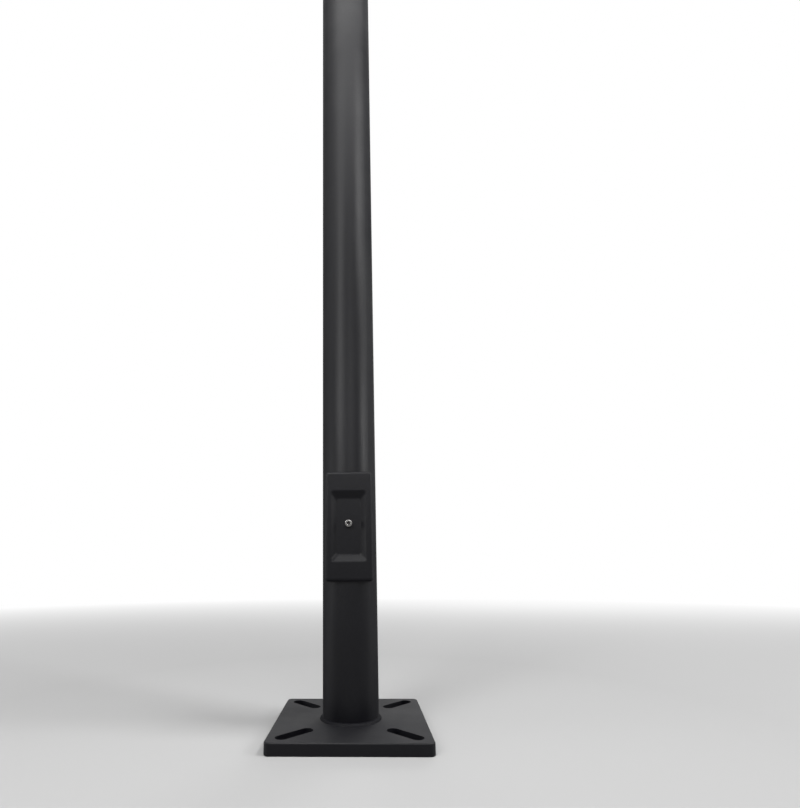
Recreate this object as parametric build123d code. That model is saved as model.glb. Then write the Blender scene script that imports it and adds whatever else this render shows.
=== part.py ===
from build123d import *
import os

# A straight round steel light pole on a square base plate, with a hand hole near its foot.
# Sizes are in millimetres. The origin is the middle of the base plate's underside, +Z is up,
# and the hand hole faces -Y.

# Shaft
pole_height = 7620.0
shaft_diameter = 101.6
shaft_wall = 3.04
shaft_foot_height = 8.0

# Base plate
plate_side = 266.7
plate_thickness = 20.0
plate_corner_radius = 9.5
plate_top_edge_chamfer = 1.5
plate_foot_edge_chamfer = 0.8
socket_clearance = 0.3

# Anchor slots, which run along the plate's diagonals
slot_width = 22.2
smallest_bolt_circle = 203.2
largest_bolt_circle = 304.8

# Welds
foot_weld_leg = 6.35
inner_weld_depth = 5.0

# Hand hole and the flat-bar rim welded into it
hand_hole_height = 362.0
hand_hole_width = 62.0
hand_hole_length = 148.0
hand_hole_corner_radius = 16.0
rim_bar_thickness = 6.0
rim_stands_out = 3.0
rim_bar_width = 26.0
rim_seat_gap = 0.2
rim_weld_width = 2.2
rim_weld_height = 2.4

# Hand hole cover, a hollow casting that saddles the shaft
cover_width = 86.0
cover_length = 197.0
cover_stands_out = 10.0
cover_edge_radius = 6.0
cover_wall = 3.0
cover_seat_gap = 0.3

# Recess in the cover's face
recess_width = 63.0
recess_length = 127.0
recess_corner_radius = 9.0
recess_depth = 8.0
recess_side_run = 9.5
recess_end_run = 12.5
recess_rim_radius = 4.0
recess_foot_radius = 4.5

# Cover screw, a socket-head cap screw that pulls on a bar behind the rim
screw_above_middle = 4.5
screw_diameter = 8.0
screw_length = 40.0
screw_head_diameter = 13.0
screw_head_height = 8.0
screw_socket_across_flats = 6.0
screw_socket_depth = 4.0
screw_hole_clearance = 0.5
thread_clearance = 0.1
head_seat_gap = 0.05

# Clamp bar behind the rim
bar_length = 74.0
bar_width = 25.4
bar_thickness = 5.0
bar_corner_radius = 4.0
bar_seat_gap = 0.1
bar_hole_clearance = 0.5
clamp_nut_across_flats = 13.0
clamp_nut_height = 6.5

# Ground lug, a tab welded inside the shaft opposite the hand hole, with its bolt and nut
lug_thickness = 6.0
lug_length = 28.0
lug_height = 32.0
lug_corner_radius = 8.0
lug_seat_gap = 0.2
lug_hole_inset = 12.0
ground_bolt_diameter = 9.5
ground_bolt_length = 25.0
ground_bolt_across_flats = 14.3
ground_bolt_head_height = 6.0
ground_nut_height = 8.0
ground_bolt_clearance = 0.3

# Pole cap, a moulded cap with ribs on the skirt that grips inside the tube
cap_crown_rise = 9.0
cap_edge_height = 3.0
cap_wall = 2.6
cap_skirt_depth = 32.0
cap_skirt_clearance = 2.0
cap_rib_count = 12
cap_rib_width = 2.4
cap_rib_clearance = 0.2
cap_rib_draft = 0.6
cap_rib_stops_short = 3.0
cap_rib_chamfer = 0.8
cap_seat_gap = 0.1

# Places that follow from the sizes above
shaft_radius = shaft_diameter / 2
bore_radius = shaft_radius - shaft_wall
socket_radius = shaft_radius + socket_clearance
slot_middle_radius = (smallest_bolt_circle + largest_bolt_circle) / 4
slot_travel = (largest_bolt_circle - smallest_bolt_circle) / 2
rim_width = hand_hole_width + 2 * rim_bar_thickness
rim_length = hand_hole_length + 2 * rim_bar_thickness
rim_corner_radius = hand_hole_corner_radius + rim_bar_thickness
rim_face = shaft_radius + rim_stands_out
rim_back = rim_face - rim_bar_width
cover_face = shaft_radius + cover_stands_out
recess_floor = cover_face - recess_depth
screw_height = hand_hole_height + screw_above_middle
bar_face = rim_back - bar_seat_gap
lug_middle = bore_radius - lug_length / 2
lug_hole_distance = bore_radius - lug_length + lug_hole_inset


def front_plane(distance, height):
    """A plane that faces -Y, this far in front of the shaft's axis and this far up."""
    return Plane(origin=(0, -distance, height), x_dir=(1, 0, 0), z_dir=(0, -1, 0))


def rounded_prism(width, length, corner_radius, back, front, height):
    """A rounded rectangle seen from the front, from one distance before the axis to another."""
    outline = front_plane(back, height) * RectangleRounded(width, length, corner_radius)
    return extrude(outline, amount=front - back)


def round_along_y(radius, back, front, height):
    """A cylinder that points at the viewer, from one distance before the axis to another."""
    return extrude(front_plane(back, height) * Circle(radius), amount=front - back)


def upright_cylinder(radius, bottom, top):
    """A cylinder on the shaft's axis."""
    return extrude(Plane.XY.offset(bottom) * Circle(radius), amount=top - bottom)


def hexagon_prism(across_flats, length):
    """A hexagonal prism that stands on XY."""
    return extrude(RegularPolygon(across_flats / 2, 6, major_radius=False), amount=length)


def build_base_plate():
    plate = extrude(RectangleRounded(plate_side, plate_side, plate_corner_radius), amount=plate_thickness)
    plate = chamfer(plate.faces().sort_by(Axis.Z)[-1].edges(), plate_top_edge_chamfer)
    plate = chamfer(plate.faces().sort_by(Axis.Z)[0].edges(), plate_foot_edge_chamfer)
    slot = extrude(SlotCenterToCenter(slot_travel, slot_width), amount=plate_thickness)
    for place in PolarLocations(slot_middle_radius, 4, start_angle=45):
        plate -= place * slot
    return plate - upright_cylinder(socket_radius, 0, plate_thickness)


def build_pole_shaft():
    tube = upright_cylinder(shaft_radius, shaft_foot_height, pole_height)
    tube -= upright_cylinder(bore_radius, shaft_foot_height, pole_height)
    cut_corner_radius = rim_corner_radius + rim_seat_gap
    return tube - rounded_prism(
        rim_width + 2 * rim_seat_gap,
        rim_length + 2 * rim_seat_gap,
        cut_corner_radius,
        0,
        shaft_diameter,
        hand_hole_height,
    )


def build_foot_weld():
    """The fillet weld round the shaft on top of the plate."""
    section = Polyline(
        (shaft_radius, plate_thickness),
        (shaft_radius + foot_weld_leg, plate_thickness),
        (shaft_radius, plate_thickness + foot_weld_leg),
        close=True,
    )
    return revolve(Plane.XZ * make_face(section), Axis.Z)


def build_inner_weld():
    """The weld under the shaft's lower end, inside the plate's socket."""
    section = Polyline(
        (socket_radius, shaft_foot_height),
        (bore_radius, shaft_foot_height),
        (socket_radius, shaft_foot_height - inner_weld_depth),
        close=True,
    )
    return revolve(Plane.XZ * make_face(section), Axis.Z)


def build_hand_hole_rim():
    rim = rounded_prism(rim_width, rim_length, rim_corner_radius, rim_back, rim_face, hand_hole_height)
    return rim - rounded_prism(
        hand_hole_width, hand_hole_length, hand_hole_corner_radius, rim_back, rim_face, hand_hole_height
    )


def build_rim_weld():
    """The bead round the rim, on the shaft's outer surface."""
    bead = rounded_prism(
        rim_width + 2 * rim_weld_width,
        rim_length + 2 * rim_weld_width,
        rim_corner_radius + rim_weld_width,
        0,
        shaft_diameter,
        hand_hole_height,
    )
    bead -= rounded_prism(rim_width, rim_length, rim_corner_radius, 0, shaft_diameter, hand_hole_height)
    bottom = hand_hole_height - rim_length
    top = hand_hole_height + rim_length
    bead &= upright_cylinder(shaft_radius + rim_weld_height, bottom, top)
    return bead - upright_cylinder(shaft_radius, bottom, top)


def wedge_outline(front_width, back_width, back, front):
    """A symmetric trapezoid between two distances before the axis, drawn on X and Y."""
    return make_face(
        Polyline(
            (-front_width / 2, -front),
            (front_width / 2, -front),
            (back_width / 2, -back),
            (-back_width / 2, -back),
            close=True,
        )
    )


def recess_form(grow, back, front):
    """The recess as a solid, widened all round, from its sloping walls to its flat floor."""
    width = recess_width + 2 * grow
    length = recess_length + 2 * grow
    seen_from_above = Plane.XY.offset(hand_hole_height - length / 2)
    seen_from_the_side = Plane(origin=(width / 2, 0, hand_hole_height), x_dir=(0, 0, 1), z_dir=(-1, 0, 0))
    cross_section = seen_from_above * wedge_outline(width, width - 2 * recess_side_run, back, front)
    long_section = seen_from_the_side * wedge_outline(length, length - 2 * recess_end_run, back, front)
    form = extrude(cross_section, amount=length)
    form &= extrude(long_section, amount=width)
    slanted_corners = form.edges().filter_by(Plane.XZ, reverse=True)
    return fillet(slanted_corners, recess_corner_radius + grow)


def build_hand_hole_cover():
    middle = hand_hole_height
    blank = front_plane(0, middle) * Rectangle(cover_width, cover_length)
    block = extrude(blank, amount=cover_face)
    face_edges = block.faces().sort_by(Axis.Y)[0].edges()
    block = fillet(block.edges().filter_by(Axis.Y) + face_edges, cover_edge_radius)
    block -= recess_form(0, recess_floor, cover_face)
    block = fillet(block.faces().sort_by(Axis.Y)[0].inner_wires().edges(), recess_rim_radius)
    floor = block.faces().filter_by(Axis.Y).sort_by(lambda face: abs(face.center().Y + recess_floor))[0]
    block = fillet(floor.edges(), recess_foot_radius)
    hollow = rounded_prism(
        cover_width - 2 * cover_wall,
        cover_length - 2 * cover_wall,
        cover_edge_radius - cover_wall,
        0,
        cover_face - cover_wall,
        middle,
    )
    hollow -= recess_form(cover_wall, recess_floor - cover_wall, cover_face - cover_wall)
    cover = block - hollow
    saddle_bottom = middle - cover_length
    saddle_top = middle + cover_length
    cover -= upright_cylinder(shaft_radius + cover_seat_gap, saddle_bottom, saddle_top)
    hole_radius = screw_diameter / 2 + screw_hole_clearance
    return cover - round_along_y(hole_radius, 0, cover_face, screw_height)


def build_cover_screw():
    seat = recess_floor + head_seat_gap
    head = round_along_y(screw_head_diameter / 2, seat, seat + screw_head_height, screw_height)
    shank = round_along_y(screw_diameter / 2, seat - screw_length, seat, screw_height)
    socket_start = front_plane(seat + screw_head_height - screw_socket_depth, screw_height)
    return head + shank - socket_start * hexagon_prism(screw_socket_across_flats, screw_socket_depth)


def build_clamp_bar():
    """The bar that bridges the rim's back edges."""
    bar_back = bar_face - bar_thickness
    bar = rounded_prism(bar_length, bar_width, bar_corner_radius, bar_back, bar_face, screw_height)
    return bar - round_along_y(screw_diameter / 2 + bar_hole_clearance, 0, shaft_radius, screw_height)


def build_clamp_nut():
    """The hexagon nut that is welded to the back of the bar."""
    back = bar_face - bar_thickness - clamp_nut_height
    nut = front_plane(back, screw_height) * hexagon_prism(clamp_nut_across_flats, clamp_nut_height)
    return nut - round_along_y(screw_diameter / 2 + thread_clearance, 0, shaft_radius, screw_height)


def build_ground_lug():
    side = Plane.YZ.offset(-lug_thickness / 2)
    outline = side * Pos(lug_middle, hand_hole_height) * Rectangle(lug_length, lug_height)
    tab = extrude(outline, amount=lug_thickness)
    tab = fillet(tab.edges().filter_by(Axis.X).group_by(Axis.Y)[0], lug_corner_radius)
    bottom = hand_hole_height - lug_height
    top = hand_hole_height + lug_height
    tab &= upright_cylinder(bore_radius - lug_seat_gap, bottom, top)
    hole_radius = ground_bolt_diameter / 2 + ground_bolt_clearance
    hole = side * Pos(lug_hole_distance, hand_hole_height) * Circle(hole_radius)
    return tab - extrude(hole, amount=lug_thickness)


def ground_bolt_plane(offset):
    """A plane across the ground bolt's axis, this far to the side of the lug's middle."""
    origin = (offset, lug_hole_distance, hand_hole_height)
    return Plane(origin=origin, x_dir=(0, 1, 0), z_dir=(1, 0, 0))


def build_ground_bolt():
    face = lug_thickness / 2 + head_seat_gap
    head = ground_bolt_plane(face) * hexagon_prism(ground_bolt_across_flats, ground_bolt_head_height)
    shank = extrude(ground_bolt_plane(face) * Circle(ground_bolt_diameter / 2), amount=-ground_bolt_length)
    return head + shank


def build_ground_nut():
    face = lug_thickness / 2 + head_seat_gap
    far_end = ground_bolt_plane(-face - ground_nut_height)
    nut = far_end * hexagon_prism(ground_bolt_across_flats, ground_nut_height)
    hole = far_end * Circle(ground_bolt_diameter / 2 + thread_clearance)
    return nut - extrude(hole, amount=ground_nut_height)


def dome(base_radius, rise, base_height):
    """A solid spherical cap of this base radius and rise."""
    ball_radius = (base_radius**2 + rise**2) / (2 * rise)
    ball = Pos(0, 0, base_height + rise - ball_radius) * Rot(90, 0, 0) * Sphere(ball_radius)
    return upright_cylinder(base_radius, base_height, base_height + 2 * rise) & ball


def cap_rib(root, reach, top):
    """One grip rib, which narrows downward and ends in a lead-in."""
    foot = top - cap_skirt_depth + cap_rib_stops_short
    outline = Polyline(
        (root, top),
        (reach, top),
        (reach - cap_rib_draft, foot + cap_rib_chamfer),
        (reach - cap_rib_draft - cap_rib_chamfer, foot),
        (root, foot),
        close=True,
    )
    return extrude(Plane.XZ * make_face(outline), amount=cap_rib_width / 2, both=True)


def build_pole_cap():
    """A low domed cap with a skirt inside the tube, and grip ribs down the skirt."""
    seat = pole_height + cap_seat_gap
    foot = pole_height - cap_skirt_depth
    skirt_radius = bore_radius - cap_skirt_clearance
    hollow_radius = skirt_radius - cap_wall
    rim_height = seat + cap_edge_height
    cap = upright_cylinder(shaft_radius, seat, rim_height)
    cap += dome(shaft_radius, cap_crown_rise, rim_height)
    cap += upright_cylinder(skirt_radius, foot, seat)
    cap -= upright_cylinder(hollow_radius, foot, seat)
    cap -= dome(hollow_radius, cap_crown_rise + cap_edge_height - cap_wall, seat)
    rib = cap_rib(skirt_radius - cap_wall / 2, bore_radius - cap_rib_clearance, seat)
    for place in PolarLocations(0, cap_rib_count):
        cap += place * rib
    return cap


parts = {
    "base_plate": build_base_plate,
    "pole_shaft": build_pole_shaft,
    "foot_weld": build_foot_weld,
    "inner_weld": build_inner_weld,
    "hand_hole_rim": build_hand_hole_rim,
    "rim_weld": build_rim_weld,
    "hand_hole_cover": build_hand_hole_cover,
    "cover_screw": build_cover_screw,
    "clamp_bar": build_clamp_bar,
    "clamp_nut": build_clamp_nut,
    "ground_lug": build_ground_lug,
    "ground_bolt": build_ground_bolt,
    "ground_nut": build_ground_nut,
    "pole_cap": build_pole_cap,
}

os.makedirs("parts", exist_ok=True)
for name, build in parts.items():
    export_step(build(), f"parts/{name}.step")
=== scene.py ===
import math

import bmesh
import bpy
from mathutils import Matrix, Vector


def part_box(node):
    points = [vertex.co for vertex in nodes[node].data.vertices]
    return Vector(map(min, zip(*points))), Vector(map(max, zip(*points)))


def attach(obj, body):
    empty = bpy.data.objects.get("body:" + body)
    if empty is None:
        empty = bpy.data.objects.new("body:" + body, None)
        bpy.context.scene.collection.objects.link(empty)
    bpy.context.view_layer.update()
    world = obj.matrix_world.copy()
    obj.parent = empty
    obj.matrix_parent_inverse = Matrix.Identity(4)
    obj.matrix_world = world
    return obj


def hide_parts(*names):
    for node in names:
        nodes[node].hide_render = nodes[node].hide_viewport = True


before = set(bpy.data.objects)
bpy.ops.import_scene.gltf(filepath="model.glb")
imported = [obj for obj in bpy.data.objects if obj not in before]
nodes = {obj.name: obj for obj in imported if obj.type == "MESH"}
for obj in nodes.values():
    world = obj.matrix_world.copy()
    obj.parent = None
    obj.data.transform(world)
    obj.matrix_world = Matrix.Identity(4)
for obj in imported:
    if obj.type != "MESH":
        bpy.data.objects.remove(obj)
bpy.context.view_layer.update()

# Camera, as fitted to the plate, the shaft and the cover in the 800 by 808 photograph
PHOTO_SIZE = (800, 808)
SENSOR_WIDTH = 36.0
FOCAL_LENGTH_PX = 482.0
OPTICAL_CENTRE_PX = (347.3, 505.2)
CAMERA_PLACE = (0.0225, -0.9159, 0.2780)
CAMERA_TILT = 0.1404
CAMERA_TURN = 0.0287
CAMERA_ROLL = -0.0070

# Studio
FLOOR_RADIUS = 40.0
FLOOR_DROP = 0.0002
FLOOR_COLOUR = (0.48, 0.48, 0.48)
FLOOR_FADE_START = 0.8
FLOOR_FADE_END = 4.5
AMBIENT_STRENGTH = 0.15

# Lamps: name, degrees round from the photographer's side, distance from the pole's axis, height,
# height aimed at, width, length and power in watts
LAMPS = (
    ("strip_left", -32, 2.2, 4.3, 4.3, 0.95, 6.5, 65),
    ("strip_middle", 12, 2.2, 4.3, 4.3, 0.87, 6.5, 20),
    ("strip_right", 88, 2.2, 4.3, 4.3, 0.58, 6.5, 4.5),
    ("low_far_left", -80, 2.2, 0.6, 0.5, 0.8, 0.5, 4.5),
    ("low_left", -37, 2.2, 1.25, 1.25, 1.3, 0.3, 11),
    ("low_middle", 8, 2.2, 1.2, 1.2, 1.1, 0.3, 5),
    ("low_right", 74, 2.2, 1.25, 1.25, 1.4, 0.3, 20),
    ("high_right", 73, 2.2, 3.6, 3.6, 1.1, 0.7, 106),
    ("key", -25, 1.27, 2.34, 0.3, 0.7, 0.7, 2),
    ("top", -5, 0.27, 2.7, 0.0, 0.9, 0.5, 21),
    ("back_right", 155, 4.5, 1.82, 0.0, 2.1, 1.0, 74),
    ("back_left", -160, 4.5, 1.82, 0.0, 2.1, 1.0, 24),
)

# Finishes, as linear colours
COAT_COLOUR = (0.0022, 0.0022, 0.0036)
CAP_COLOUR = (0.006, 0.006, 0.006)
STAINLESS_COLOUR = (0.17, 0.167, 0.163)
ZINC_COLOUR = (0.46, 0.47, 0.49)

# Where most of a noise's values lie, for strong and for mild contrast
STRONG_NOISE = (0.35, 0.65)
MILD_NOISE = (0.3, 0.7)

# Powder coat. Scales are noise cells to a metre, and shades are shares of the coat's colour.
CLOUD_SCALE = 9.0
CLOUD_SHADES = (0.9, 1.12)
CLOUD_GLOSS = (0.92, 1.08)
PEEL_SCALE = 260.0
PEEL_HEIGHT = 0.00014
GRAIN_SCALE = 900.0
GRAIN_HEIGHT = 0.00009
SCUFF_SCALE = 60.0
SCUFFED_NOISE = (0.52, 0.66)
RUBBED_RADIUS = 0.0012
RUBBED_TURN = (0.995, 0.94)
RUBBED_SHADE = 2.6
DULLED_FACING = (0.2, 0.7)

# Bare metal
STAIN_SIZE = 12
STAIN_SHADES = (0.82, 1.05)
BRUSHED_HEIGHT = 0.00004
SMOOTHER_BY = 0.06
ROUGHER_BY = 0.08
# Painted shade: ambient occlusion darkens the metal's colour in its recesses, down to this share of it
PAINTED_SHADE_REACH = 0.01
PAINTED_SHADE_OPENNESS = (0.4, 0.8)
PAINTED_SHADE_DARKNESS = 0.12

# Weld beads, and the shaft's wall that the inner one seals
SHAFT_WALL = 0.00304
BEAD_COLUMNS = 1080
BEAD_ROWS = 12
BEAD_BULGE = 0.0006
FOOT_BEAD_SHARE = 0.75
BEAD_ROOT = 0.0004
RIPPLE_PITCH = 0.0025
RIPPLE_HEIGHT = 0.00016
RIPPLE_CURVE = 3.2
RIPPLE_DRIFT = 0.5
RIPPLE_DRIFT_WAVES = 7
BEAD_WANDER = 0.00022

# Slow waves along a bead: how many go round, where they start in radians, and their share
BEAD_WAVES = ((3, 0.7, 0.625), (11, 2.1, 0.375))

# Fasteners. Hexagon ends are chamfered at 30 degrees.
ROUND_COLUMNS = 96
THREAD_ROWS = 8
THREAD_DEPTH_SHARE = 0.61
THREAD_FLAT_SHARE = 1 / 8
NUT_CLEARANCE = 0.0001
HEX_CHAMFER_SLOPE = math.sqrt(3)
HEX_END_SHARE = 0.97
NUT_RING_SHARES = (0.0, 0.05, 0.1, 0.15, 0.2, 0.3, 0.7, 0.8, 0.85, 0.9, 0.95, 1.0)
HEAD_RING_SHARES = (1.0, 0.94, 0.88, 0.82, 0.76, 0.7, 0.0)
SCREW_RADIUS = 0.004
SCREW_PITCH = 0.00125
SCREW_HEAD_HEIGHT = 0.008
SCREW_PLAIN_SHANK = 0.012
SOCKET_ACROSS_FLATS = 0.006
SOCKET_DEPTH = 0.004
SOCKET_TIP = 0.0009
SOCKET_TIP_RADIUS = 0.0002
SOCKET_DRILL_RADIUS = 0.0027
SOCKET_BEVEL = 0.0003
KNURL_DEPTH = 0.00013
KNURL_LEAD = 0.00016
HEAD_EDGE = 0.0008
GROUND_BOLT_RADIUS = 0.00475
GROUND_BOLT_PITCH = 0.0015875
GROUND_HEAD_HEIGHT = 0.006
GROUND_PLAIN_SHANK = 0.002


def add_camera():
    data = bpy.data.cameras.new("camera")
    data.sensor_width = SENSOR_WIDTH
    long_side = max(PHOTO_SIZE)
    data.lens = FOCAL_LENGTH_PX / long_side * SENSOR_WIDTH
    data.shift_x = (PHOTO_SIZE[0] / 2 - OPTICAL_CENTRE_PX[0]) / long_side
    data.shift_y = (OPTICAL_CENTRE_PX[1] - PHOTO_SIZE[1] / 2) / long_side
    data.clip_start = 0.01
    data.clip_end = 200.0
    camera = bpy.data.objects.new("camera", data)
    turn = Matrix.Rotation(CAMERA_TURN, 4, "Z")
    tilt = Matrix.Rotation(math.pi / 2 + CAMERA_TILT, 4, "X")
    roll = Matrix.Rotation(CAMERA_ROLL, 4, "Z")
    camera.matrix_world = Matrix.Translation(CAMERA_PLACE) @ turn @ tilt @ roll
    bpy.context.scene.collection.objects.link(camera)
    bpy.context.scene.camera = camera


class Nodes:
    """The node tree of a material or world, with short calls to add nodes and join them."""

    def __init__(self, owner, output):
        owner.use_nodes = True
        self.tree = owner.node_tree
        self.tree.nodes.clear()
        self.output = self.add(output)

    def add(self, kind, **settings):
        node = self.tree.nodes.new(kind)
        for key, value in settings.items():
            setattr(node, key, value)
        return node

    def join(self, source, target):
        self.tree.links.new(source, target)

    def noise(self, scale, detail, roughness):
        node = self.add("ShaderNodeTexNoise")
        node.inputs["Scale"].default_value = scale
        node.inputs["Detail"].default_value = detail
        node.inputs["Roughness"].default_value = roughness
        self.join(self.add("ShaderNodeTexCoord").outputs["Object"], node.inputs["Vector"])
        return node.outputs["Fac"]

    def remap(self, value, from_low, from_high, to_low=0.0, to_high=1.0):
        node = self.add("ShaderNodeMapRange")
        ranges = {"From Min": from_low, "From Max": from_high, "To Min": to_low, "To Max": to_high}
        for key, number in ranges.items():
            node.inputs[key].default_value = number
        self.join(value, node.inputs["Value"])
        return node.outputs["Result"]

    def blend(self, factor, low, high):
        node = self.add("ShaderNodeMix", data_type="RGBA")
        self.join(factor, node.inputs[0])
        for value, socket in ((low, node.inputs[6]), (high, node.inputs[7])):
            if isinstance(value, tuple):
                socket.default_value = (*value, 1.0)
            else:
                self.join(value, socket)
        return node.outputs[2]

    def math(self, operation, first, second):
        node = self.add("ShaderNodeMath", operation=operation)
        self.join(first, node.inputs[0])
        self.join(second, node.inputs[1])
        return node.outputs[0]

    def seen(self):
        """1 for a ray of the eye, a reflection or glass, and 0 for one of plain light."""
        rays = self.add("ShaderNodeLightPath").outputs
        seen = self.math("MAXIMUM", rays["Is Camera Ray"], rays["Is Glossy Ray"])
        return self.math("MAXIMUM", seen, rays["Is Transmission Ray"])

    def bump(self, height, distance, normal=None):
        node = self.add("ShaderNodeBump")
        node.inputs["Strength"].default_value = 1.0
        node.inputs["Distance"].default_value = distance
        self.join(height, node.inputs["Height"])
        if normal:
            self.join(normal, node.inputs["Normal"])
        return node.outputs["Normal"]


def shade(colour, factor):
    return tuple(channel * factor for channel in colour)


def powder_coat(name, colour, roughness=0.36, grazing_roughness=0.95, specular=0.20):
    """A satin powder coat with orange-peel texture and rubbed edges, duller seen from the side."""
    material = bpy.data.materials.new(name)
    made = Nodes(material, "ShaderNodeOutputMaterial")
    shader = made.add("ShaderNodeBsdfPrincipled")
    shader.inputs["Specular IOR Level"].default_value = specular
    clouds = made.noise(CLOUD_SCALE, 4.0, 0.6)
    shades = [shade(colour, factor) for factor in CLOUD_SHADES]
    tone = made.blend(made.remap(clouds, *STRONG_NOISE), *shades)
    edge = made.add("ShaderNodeBevel", samples=4)
    edge.inputs["Radius"].default_value = RUBBED_RADIUS
    turned = made.add("ShaderNodeVectorMath", operation="DOT_PRODUCT")
    made.join(edge.outputs["Normal"], turned.inputs[0])
    made.join(made.add("ShaderNodeNewGeometry").outputs["Normal"], turned.inputs[1])
    corner = made.remap(turned.outputs["Value"], *RUBBED_TURN)
    scuffs = made.remap(made.noise(SCUFF_SCALE, 5.0, 0.7), *SCUFFED_NOISE)
    rubbed = made.math("MULTIPLY", corner, scuffs)
    made.join(made.blend(rubbed, tone, shade(colour, RUBBED_SHADE)), shader.inputs["Base Color"])
    facing = made.add("ShaderNodeLayerWeight").outputs["Facing"]
    dull = made.remap(facing, *DULLED_FACING, roughness, grazing_roughness)
    uneven = made.remap(clouds, *MILD_NOISE, *CLOUD_GLOSS)
    made.join(made.math("MULTIPLY", dull, uneven), shader.inputs["Roughness"])
    grains = made.bump(made.noise(GRAIN_SCALE, 2.0, 0.6), GRAIN_HEIGHT)
    peel = made.bump(made.noise(PEEL_SCALE, 2.0, 0.5), PEEL_HEIGHT, normal=grains)
    made.join(peel, shader.inputs["Normal"])
    made.join(shader.outputs["BSDF"], made.output.inputs["Surface"])
    return material


def bare_metal(name, colour, roughness, brushed_scale):
    """A plain metal with fine brushed variation in its roughness, and painted shade darkening its
    recesses.
    """
    material = bpy.data.materials.new(name)
    made = Nodes(material, "ShaderNodeOutputMaterial")
    shader = made.add("ShaderNodeBsdfPrincipled")
    shader.inputs["Metallic"].default_value = 1.0
    stains = made.noise(brushed_scale / STAIN_SIZE, 4.0, 0.6)
    shades = [shade(colour, factor) for factor in STAIN_SHADES]
    tone = made.blend(made.remap(stains, *STRONG_NOISE), *shades)
    # Painted shade: the colour darkens where ambient occlusion finds a recess, as shade would fall
    # there
    shade_occlusion = made.add("ShaderNodeAmbientOcclusion", samples=8)
    shade_occlusion.inputs["Distance"].default_value = PAINTED_SHADE_REACH
    unshaded_share = made.remap(shade_occlusion.outputs["AO"], *PAINTED_SHADE_OPENNESS)
    made.join(made.blend(unshaded_share, shade(colour, PAINTED_SHADE_DARKNESS), tone), shader.inputs["Base Color"])
    lines = made.noise(brushed_scale, 3.0, 0.6)
    uneven = made.remap(lines, *MILD_NOISE, roughness - SMOOTHER_BY, roughness + ROUGHER_BY)
    made.join(uneven, shader.inputs["Roughness"])
    made.join(made.bump(lines, BRUSHED_HEIGHT), shader.inputs["Normal"])
    made.join(shader.outputs["BSDF"], made.output.inputs["Surface"])
    return material


def paint(node, material):
    """Gives a CAD node one material."""
    slots = nodes[node].data.materials
    slots.clear()
    slots.append(material)


def add_piece(name, rings, node, material, hollow=False, sharp_above=35):
    """A closed mesh through rings of points, in place of a CAD node. A hollow one joins its ends."""
    count = len(rings[0])
    faces = []
    for row in range(len(rings) if hollow else len(rings) - 1):
        following = (row + 1) % len(rings)
        for column in range(count):
            beside = (column + 1) % count
            corners = ((row, column), (row, beside), (following, beside), (following, column))
            faces.append([ring * count + place for ring, place in corners])
    if not hollow:
        faces.append(list(range(count)))
        faces.append([(len(rings) - 1) * count + column for column in range(count)])
    mesh = bpy.data.meshes.new(name)
    mesh.from_pydata([point for ring in rings for point in ring], [], faces)
    form = bmesh.new()
    form.from_mesh(mesh)
    bmesh.ops.recalc_face_normals(form, faces=form.faces)
    form.to_mesh(mesh)
    form.free()
    mesh.shade_smooth()
    mesh.set_sharp_from_angle(angle=math.radians(sharp_above))
    mesh.materials.append(material)
    piece = bpy.data.objects.new(name, mesh)
    bpy.context.scene.collection.objects.link(piece)
    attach(piece, "root")
    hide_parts(node)


def angles(count):
    return [math.tau * step / count for step in range(count)]


def add_weld_bead(name, node, corner, near_toe, far_toe):
    """A rippled ring bead in the corner of two surfaces. Its corner and toes are radius and height."""
    corner, near_toe, far_toe = (Vector(place) for place in (corner, near_toe, far_toe))
    outward = ((near_toe - corner) + (far_toe - corner)).normalized()
    along_near = (near_toe - corner).normalized() * BEAD_ROOT
    along_far = (far_toe - corner).normalized() * BEAD_ROOT
    back = [far_toe - along_near, corner - along_near - along_far, near_toe - along_far]
    ripples = round(math.tau * corner.x / RIPPLE_PITCH)
    sections = []
    for angle in angles(BEAD_COLUMNS):
        waves = [size * math.sin(count * angle + start) for count, start, size in BEAD_WAVES]
        wander = BEAD_WANDER * sum(waves)
        drift = RIPPLE_DRIFT * math.sin(RIPPLE_DRIFT_WAVES * angle)
        section = []
        for row in range(BEAD_ROWS + 1):
            share = row / BEAD_ROWS
            crown = math.sin(math.pi * share)
            phase = ripples * angle + RIPPLE_CURVE * crown + drift
            ripple = RIPPLE_HEIGHT * (2 * abs(math.sin(phase / 2)) - 1)
            rise = (BEAD_BULGE + wander + ripple) * crown
            section.append(near_toe.lerp(far_toe, share) + outward * rise)
        sections.append((angle, section + back))
    rings = []
    for row in range(BEAD_ROWS + 1 + len(back)):
        points = []
        for angle, section in sections:
            spot = section[row]
            points.append((spot.x * math.cos(angle), spot.x * math.sin(angle), spot.y))
        rings.append(points)
    add_piece(name, rings, node, weld_coat, hollow=True, sharp_above=75)


def add_welds():
    shaft_low, shaft_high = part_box("pole_shaft")
    foot_low, foot_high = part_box("foot_weld")
    add_weld_bead(
        "foot_weld_bead",
        "foot_weld",
        (shaft_high[0], foot_low[2]),
        (shaft_high[0] + FOOT_BEAD_SHARE * (foot_high[0] - shaft_high[0]), foot_low[2]),
        (shaft_high[0], foot_low[2] + FOOT_BEAD_SHARE * (foot_high[2] - foot_low[2])),
    )
    inner_low, inner_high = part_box("inner_weld")
    bore_radius = shaft_high[0] - SHAFT_WALL
    add_weld_bead(
        "inner_weld_bead",
        "inner_weld",
        (inner_high[0], inner_high[2]),
        (bore_radius, inner_high[2]),
        (inner_high[0], inner_low[2]),
    )


def ring(place, distance, radius_at):
    """A ring of points round an axis, this far along it. radius_at gives the radius at an angle."""
    points = []
    for step, angle in enumerate(angles(ROUND_COLUMNS)):
        radius = radius_at(angle, step) if callable(radius_at) else radius_at
        points.append(place @ Vector((radius * math.cos(angle), radius * math.sin(angle), distance)))
    return points


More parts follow.
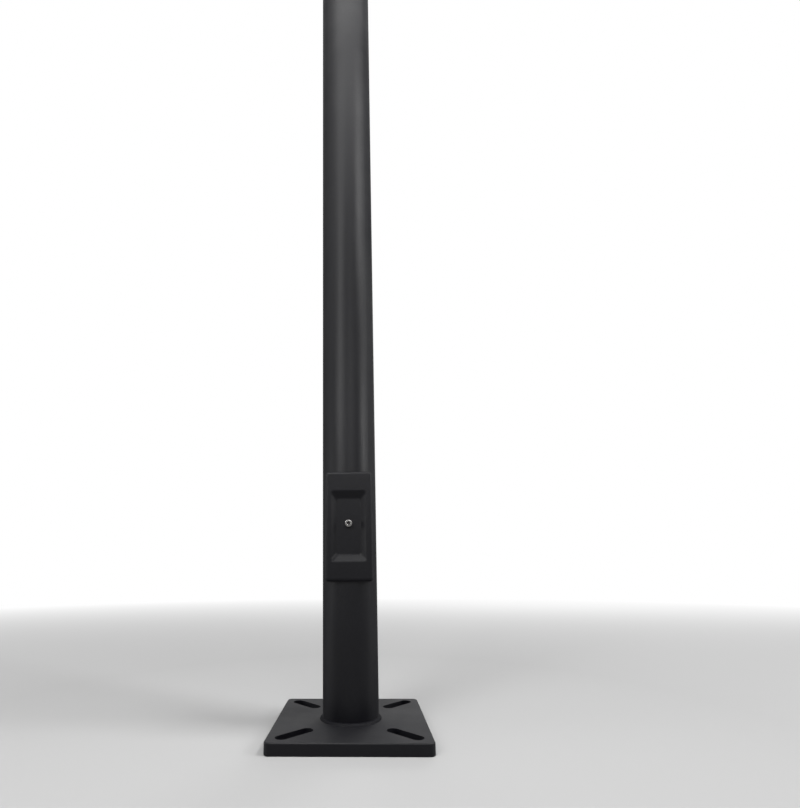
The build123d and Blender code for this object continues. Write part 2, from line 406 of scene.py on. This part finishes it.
def hexagon(across_flats, least=0.0, most=math.inf):
    """A function for the radius of a hexagon's outline at an angle, kept between two circles."""

    def radius_at(angle, step):
        from_flat = (angle + math.pi / 6) % (math.pi / 3) - math.pi / 6
        return min(max(across_flats / 2 / math.cos(from_flat), least), most)

    return radius_at


def thread_radius(angle, distance, radius, pitch):
    """The radius of a rounded thread at an angle and a distance along its axis."""
    turn = (distance / pitch - angle / math.tau) % 1.0
    flank = (abs(2 * turn - 1) - THREAD_FLAT_SHARE) / (1 - 2 * THREAD_FLAT_SHARE)
    return radius - THREAD_DEPTH_SHARE * pitch * (1 - min(max(flank, 0.0), 1.0))


def threaded_rings(place, start, end, radius, pitch, plain):
    """Rings down a shank: a plain stretch, a thread that fades in, and a chamfered tip."""
    rings = [ring(place, start, radius), ring(place, start + math.copysign(plain, end - start), radius)]
    length = abs(end - start)
    direction = math.copysign(1.0, end - start)
    count = round((length - plain) / pitch * THREAD_ROWS)
    root = radius - THREAD_DEPTH_SHARE * pitch
    for row in range(1, count + 1):
        travel = plain + (length - plain) * row / count
        distance = start + direction * travel
        fade = min((travel - plain) / pitch, 1.0)
        tip = root + (length - travel)

        def radius_at(angle, step):
            cut = thread_radius(angle, distance, radius, pitch)
            return min(radius + (cut - radius) * fade, tip)

        rings.append(ring(place, distance, radius_at))
    return rings


def add_hexagon_nut(name, node, place, bottom, top, across_flats, radius, pitch):
    """A chamfered hexagon nut whose thread fits its bolt's."""
    height = top - bottom
    rings = []
    for share in NUT_RING_SHARES:
        from_end = min(share, 1 - share) * height
        cone = across_flats / 2 * HEX_END_SHARE + HEX_CHAMFER_SLOPE * from_end
        rings.append(ring(place, bottom + share * height, hexagon(across_flats, most=cone)))
    rows = round(height / pitch * THREAD_ROWS)
    for row in range(rows, -1, -1):
        distance = bottom + height * row / rows
        mouth = radius + NUT_CLEARANCE - min(distance - bottom, top - distance)

        def radius_at(angle, step):
            return max(thread_radius(angle, distance, radius, pitch) + NUT_CLEARANCE, mouth)

        rings.append(ring(place, distance, radius_at))
    add_piece(name, rings, node, zinc, hollow=True)


def add_cover_screw(place, seat_to_tip):
    """The socket-head screw: knurled head, hexagon socket with a drilled tip, and threaded shank."""
    low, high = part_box("cover_screw")
    head_radius = (high[0] - low[0]) / 2
    top = SCREW_HEAD_HEIGHT
    floor = top - SOCKET_DEPTH
    flats = hexagon(SOCKET_ACROSS_FLATS)
    corner_radius = SOCKET_ACROSS_FLATS / math.sqrt(3)
    bevelled_flats = hexagon(SOCKET_ACROSS_FLATS, least=corner_radius)

    def knurled(angle, step):
        return head_radius - KNURL_DEPTH * (step % 2)

    rings = [
        ring(place, floor - SOCKET_TIP, SOCKET_TIP_RADIUS),
        ring(place, floor, SOCKET_DRILL_RADIUS),
        ring(place, floor, flats),
        ring(place, top - 2 * SOCKET_BEVEL, flats),
        ring(place, top - SOCKET_BEVEL, bevelled_flats),
        ring(place, top, corner_radius + SOCKET_BEVEL),
        ring(place, top, head_radius - HEAD_EDGE),
        ring(place, top - HEAD_EDGE / 4, head_radius - HEAD_EDGE / 4),
        ring(place, top - HEAD_EDGE, head_radius - KNURL_DEPTH),
        ring(place, top - HEAD_EDGE - KNURL_LEAD, knurled),
        ring(place, HEAD_EDGE, knurled),
        ring(place, 0.0, head_radius - HEAD_EDGE / 2),
    ]
    rings += threaded_rings(place, 0.0, -seat_to_tip, SCREW_RADIUS, SCREW_PITCH, SCREW_PLAIN_SHANK)
    add_piece("cover_screw_detailed", rings, "cover_screw", stainless)


def add_ground_bolt(place, seat_to_tip):
    """The hexagon-head bolt through the ground lug."""
    low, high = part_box("ground_bolt")
    across_flats = high[2] - low[2]
    top = GROUND_HEAD_HEIGHT
    rings = []
    for share in HEAD_RING_SHARES:
        cone = across_flats / 2 * HEX_END_SHARE + HEX_CHAMFER_SLOPE * (1 - share) * top
        rings.append(ring(place, share * top, hexagon(across_flats, most=cone)))
    radius, pitch, plain = GROUND_BOLT_RADIUS, GROUND_BOLT_PITCH, GROUND_PLAIN_SHANK
    rings += threaded_rings(place, 0.0, -seat_to_tip, radius, pitch, plain)
    add_piece("ground_bolt_detailed", rings, "ground_bolt", zinc)


def add_fasteners():
    """Each axis runs from under the bolt's head, with the head on its positive side."""
    low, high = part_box("cover_screw")
    seat = low[1] + SCREW_HEAD_HEIGHT
    middle = ((low[0] + high[0]) / 2, seat, (low[2] + high[2]) / 2)
    place = Matrix.Translation(middle) @ Matrix.Rotation(math.pi / 2, 4, "X")
    add_cover_screw(place, high[1] - seat)
    nut_low, nut_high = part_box("clamp_nut")
    across_flats = nut_high[2] - nut_low[2]
    ends = (seat - nut_high[1], seat - nut_low[1])
    thread = (SCREW_RADIUS, SCREW_PITCH)
    add_hexagon_nut("clamp_nut_detailed", "clamp_nut", place, *ends, across_flats, *thread)
    low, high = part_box("ground_bolt")
    seat = high[0] - GROUND_HEAD_HEIGHT
    middle = (seat, (low[1] + high[1]) / 2, (low[2] + high[2]) / 2)
    place = Matrix.Translation(middle) @ Matrix.Rotation(math.pi / 2, 4, "Y")
    add_ground_bolt(place, seat - low[0])
    nut_low, nut_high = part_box("ground_nut")
    ends = (nut_low[0] - seat, nut_high[0] - seat)
    across_flats = high[2] - low[2]
    thread = (GROUND_BOLT_RADIUS, GROUND_BOLT_PITCH)
    add_hexagon_nut("ground_nut_detailed", "ground_nut", place, *ends, across_flats, *thread)


def floor_material():
    """A pale floor that fades to plain white far from the pole."""
    material = bpy.data.materials.new("studio_floor")
    made = Nodes(material, "ShaderNodeOutputMaterial")
    cloth = made.add("ShaderNodeBsdfDiffuse")
    cloth.inputs["Color"].default_value = (*FLOOR_COLOUR, 1.0)
    white = made.add("ShaderNodeEmission")
    reach = made.add("ShaderNodeVectorMath", operation="LENGTH")
    made.join(made.add("ShaderNodeNewGeometry").outputs["Position"], reach.inputs[0])
    far = made.remap(reach.outputs["Value"], FLOOR_FADE_START, FLOOR_FADE_END)
    mix = made.add("ShaderNodeMixShader")
    made.join(made.math("MULTIPLY", far, made.seen()), mix.inputs["Fac"])
    made.join(cloth.outputs["BSDF"], mix.inputs[1])
    made.join(white.outputs["Emission"], mix.inputs[2])
    made.join(mix.outputs["Shader"], made.output.inputs["Surface"])
    return material


def add_floor():
    form = bmesh.new()
    bmesh.ops.create_circle(form, cap_ends=True, segments=ROUND_COLUMNS, radius=FLOOR_RADIUS)
    mesh = bpy.data.meshes.new("studio_floor")
    form.to_mesh(mesh)
    form.free()
    floor = bpy.data.objects.new("studio_floor", mesh)
    floor.location.z = -FLOOR_DROP
    mesh.materials.append(floor_material())
    bpy.context.scene.collection.objects.link(floor)


def add_world():
    """White to the eye and in reflections, with a plain ambient light."""
    world = bpy.data.worlds.new("studio")
    bpy.context.scene.world = world
    made = Nodes(world, "ShaderNodeOutputWorld")
    background = made.add("ShaderNodeBackground")
    background.inputs["Color"].default_value = (1.0, 1.0, 1.0, 1.0)
    strength = made.remap(made.seen(), 0.0, 1.0, AMBIENT_STRENGTH, 1.0)
    made.join(strength, background.inputs["Strength"])
    made.join(background.outputs["Background"], made.output.inputs["Surface"])


def add_lamp(name, turn, distance, height, aim_height, width, length, power):
    """A softbox this far round from the photographer's side, aimed at a height on the pole's axis."""
    angle = math.radians(turn)
    place = Vector((distance * math.sin(angle), -distance * math.cos(angle), height))
    data = bpy.data.lights.new(name, "AREA")
    data.shape = "RECTANGLE"
    data.size = width
    data.size_y = length
    data.energy = power
    light = bpy.data.objects.new(name, data)
    light.visible_camera = False
    aim = (Vector((0, 0, aim_height)) - place).to_track_quat("-Z", "Y")
    light.matrix_world = Matrix.Translation(place) @ aim.to_matrix().to_4x4()
    bpy.context.scene.collection.objects.link(light)


add_camera()
add_world()
add_floor()
for lamp in LAMPS:
    add_lamp(*lamp)

coat = powder_coat("black_powder_coat", COAT_COLOUR)
plate_coat = powder_coat("plate_powder_coat", COAT_COLOUR, grazing_roughness=0.75)
weld_coat = powder_coat("weld_powder_coat", COAT_COLOUR, roughness=0.45, specular=0.10)
cover_coat = powder_coat("cover_powder_coat", COAT_COLOUR, roughness=0.34, specular=0.18)
cap_coat = powder_coat("cap_plastic_black", CAP_COLOUR, roughness=0.55)
stainless = bare_metal("stainless_steel", STAINLESS_COLOUR, roughness=0.20, brushed_scale=900.0)
zinc = bare_metal("zinc_plated_steel", ZINC_COLOUR, roughness=0.38, brushed_scale=500.0)
for name in ("pole_shaft", "hand_hole_rim", "ground_lug"):
    paint(name, coat)
for name in ("foot_weld", "inner_weld", "rim_weld"):
    paint(name, weld_coat)
paint("base_plate", plate_coat)
paint("hand_hole_cover", cover_coat)
paint("pole_cap", cap_coat)
paint("cover_screw", stainless)
for name in ("clamp_bar", "clamp_nut", "ground_bolt", "ground_nut"):
    paint(name, zinc)
add_welds()
add_fasteners()

bpy.context.scene.view_settings.view_transform = "Standard"
